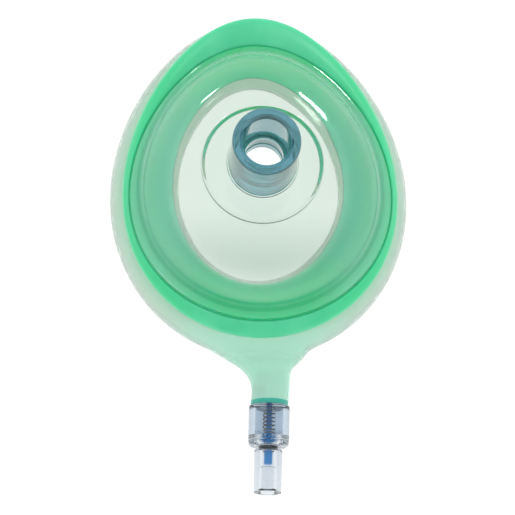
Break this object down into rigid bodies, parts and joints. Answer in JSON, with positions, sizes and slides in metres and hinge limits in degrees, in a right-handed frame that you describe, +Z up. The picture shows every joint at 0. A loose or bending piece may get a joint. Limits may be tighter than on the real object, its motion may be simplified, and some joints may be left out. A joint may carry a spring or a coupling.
{
  "type": "bag valve mask face mask",
  "caption": "Air-cushion face mask for a bag valve resuscitator: clear dome with a 22/15 mm port, inflatable green cushion and a sprung inflation valve on its chin tail.",
  "frame": {"origin": "on the plane that the cushion's face side rests on, under the middle of the whole length from the nose of the cushion to the mouth of the inflation valve", "axes": "+Z up along the port, away from the face; +Y towards the nose end; the inflation tail runs towards -Y; +X to the right with the nose away from the viewer"},
  "size_m": [0.0975, 0.1575, 0.0645],
  "materials": {
    "bladder_skin": "soft translucent PVC film, satin",
    "green_rim": "soft translucent green PVC, satin",
    "clear_dome": "clear moulded PVC, gloss",
    "port_tube": "clear blue-green moulded plastic, gloss",
    "clear_valve": "clear moulded acrylic, gloss",
    "blue_plunger": "blue moulded acetal, satin",
    "black_seal": "black nitrile rubber, matt",
    "spring_wire": "drawn stainless wire, bright"
  },
  "bodies": {
    "mask": {"cushion_bladder": "bladder_skin", "cushion_rim": "green_rim", "dome": "clear_dome", "port_connector": "port_tube", "valve_body": "clear_valve", "luer_cap": "clear_valve", "valve_spring": "spring_wire"},
    "plunger": {"plunger": "blue_plunger", "seal": "black_seal"}
  },
  "joints": [
    {"name": "plunger_slide", "type": "slide", "parent": "mask", "child": "plunger", "axis": [0.0227, 0.9997, 0], "range_m": [0, 0.002], "stiffness_N_per_m": 300, "springref_m": -0.003, "deforming": ["valve_spring"]}
  ]
}
